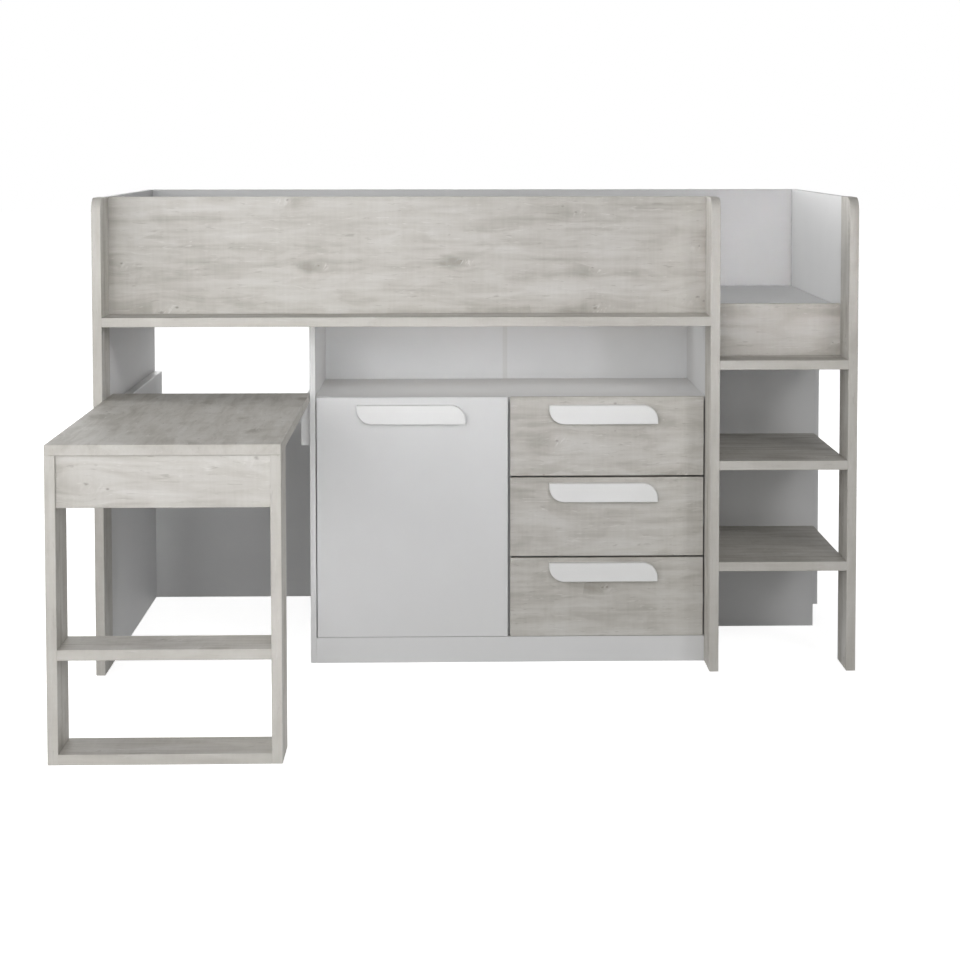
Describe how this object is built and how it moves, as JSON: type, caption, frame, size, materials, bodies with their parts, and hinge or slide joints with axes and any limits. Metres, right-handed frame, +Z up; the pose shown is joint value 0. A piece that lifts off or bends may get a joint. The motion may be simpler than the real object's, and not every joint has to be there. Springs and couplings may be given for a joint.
{
  "type": "mid sleeper bed",
  "caption": "Raised single bed with guard panels over a pull-out desk, a cupboard with an open niche, a stack of drawers and built-in steps.",
  "frame": {"origin": "on the floor, in the middle of the footprint of the whole bed with its desk pulled out", "axes": "+X along the bed towards the steps, +Y from the front to the back, +Z up"},
  "size_m": [2.06, 1.963, 1.29],
  "materials": {
    "oak_look_board": "pale grey oak decor on chipboard, satin",
    "white_board": "white melamine on chipboard, satin",
    "bare_pine": "planed pine, unfinished",
    "white_hardboard": "white-faced hardboard, matt",
    "zinc_steel": "zinc-plated pressed steel",
    "white_handle": "white lacquer, satin",
    "white_plastic": "white extruded plastic"
  },
  "bodies": {
    "bed": {"left_front_post": "oak_look_board", "middle_front_post": "oak_look_board", "right_front_post": "oak_look_board", "front_guard_panel": "oak_look_board", "front_ledge": "oak_look_board", "entry_rail": "oak_look_board", "entry_step": "oak_look_board", "upper_tread": "oak_look_board", "lower_tread": "oak_look_board", "left_end_panel": "white_board", "right_end_panel": "white_board", "right_lower_panel": "white_board", "back_guard_panel": "white_board", "lower_back_panel": "white_board", "ladder_back_panel": "white_board", "base_panels": "white_board", "cabinet_left_side": "white_board", "cabinet_right_side": "white_board", "cabinet_bottom": "white_board", "cabinet_top": "white_board", "cabinet_divider": "white_board", "plinth": "white_board", "cupboard_shelf": "white_board", "desk_rail_left": "white_board", "desk_rail_right": "white_board", "centre_bearer": "bare_pine", "back_batten": "bare_pine", "entry_batten": "bare_pine", "cabinet_back_sheets": "white_hardboard", "hinge_arms": "zinc_steel", "shelf_pins": "zinc_steel", "cabinet_slides": "zinc_steel", "rail_glides": "white_plastic", "back_joint_strip": "white_plastic"},
    "desk": {"desk_top": "oak_look_board", "desk_left_leg": "oak_look_board", "desk_right_leg": "oak_look_board", "desk_apron": "oak_look_board", "desk_stretcher": "oak_look_board", "desk_bottom_rail": "oak_look_board"},
    "door": {"cupboard_door": "white_board", "door_handle": "white_handle", "hinge_boxes": "zinc_steel", "hinge_pins": "zinc_steel"},
    "drawer_1": {"drawer_1_front": "oak_look_board", "drawer_1_handle": "white_handle", "drawer_1_box": "white_board", "drawer_1_bottom": "white_hardboard", "drawer_1_slides": "zinc_steel"},
    "drawer_2": {"drawer_2_front": "oak_look_board", "drawer_2_handle": "white_handle", "drawer_2_box": "white_board", "drawer_2_bottom": "white_hardboard", "drawer_2_slides": "zinc_steel"},
    "drawer_3": {"drawer_3_front": "oak_look_board", "drawer_3_handle": "white_handle", "drawer_3_box": "white_board", "drawer_3_bottom": "white_hardboard", "drawer_3_slides": "zinc_steel"}
  },
  "joints": [
    {"name": "desk_slide", "type": "slide", "parent": "bed", "child": "desk", "axis": [0, 1, 0], "range_m": [0, 0.887]},
    {"name": "door_hinge", "type": "hinge", "parent": "bed", "child": "door", "pos_m": [-0.42428, 0.046, 0.405], "axis": [0, 0, -1], "range_deg": [0, 90]},
    {"name": "drawer_1_slide", "type": "slide", "parent": "bed", "child": "drawer_1", "axis": [0, -1, 0], "range_m": [0, 0.33]},
    {"name": "drawer_2_slide", "type": "slide", "parent": "bed", "child": "drawer_2", "axis": [0, -1, 0], "range_m": [0, 0.33]},
    {"name": "drawer_3_slide", "type": "slide", "parent": "bed", "child": "drawer_3", "axis": [0, -1, 0], "range_m": [0, 0.33]}
  ]
}
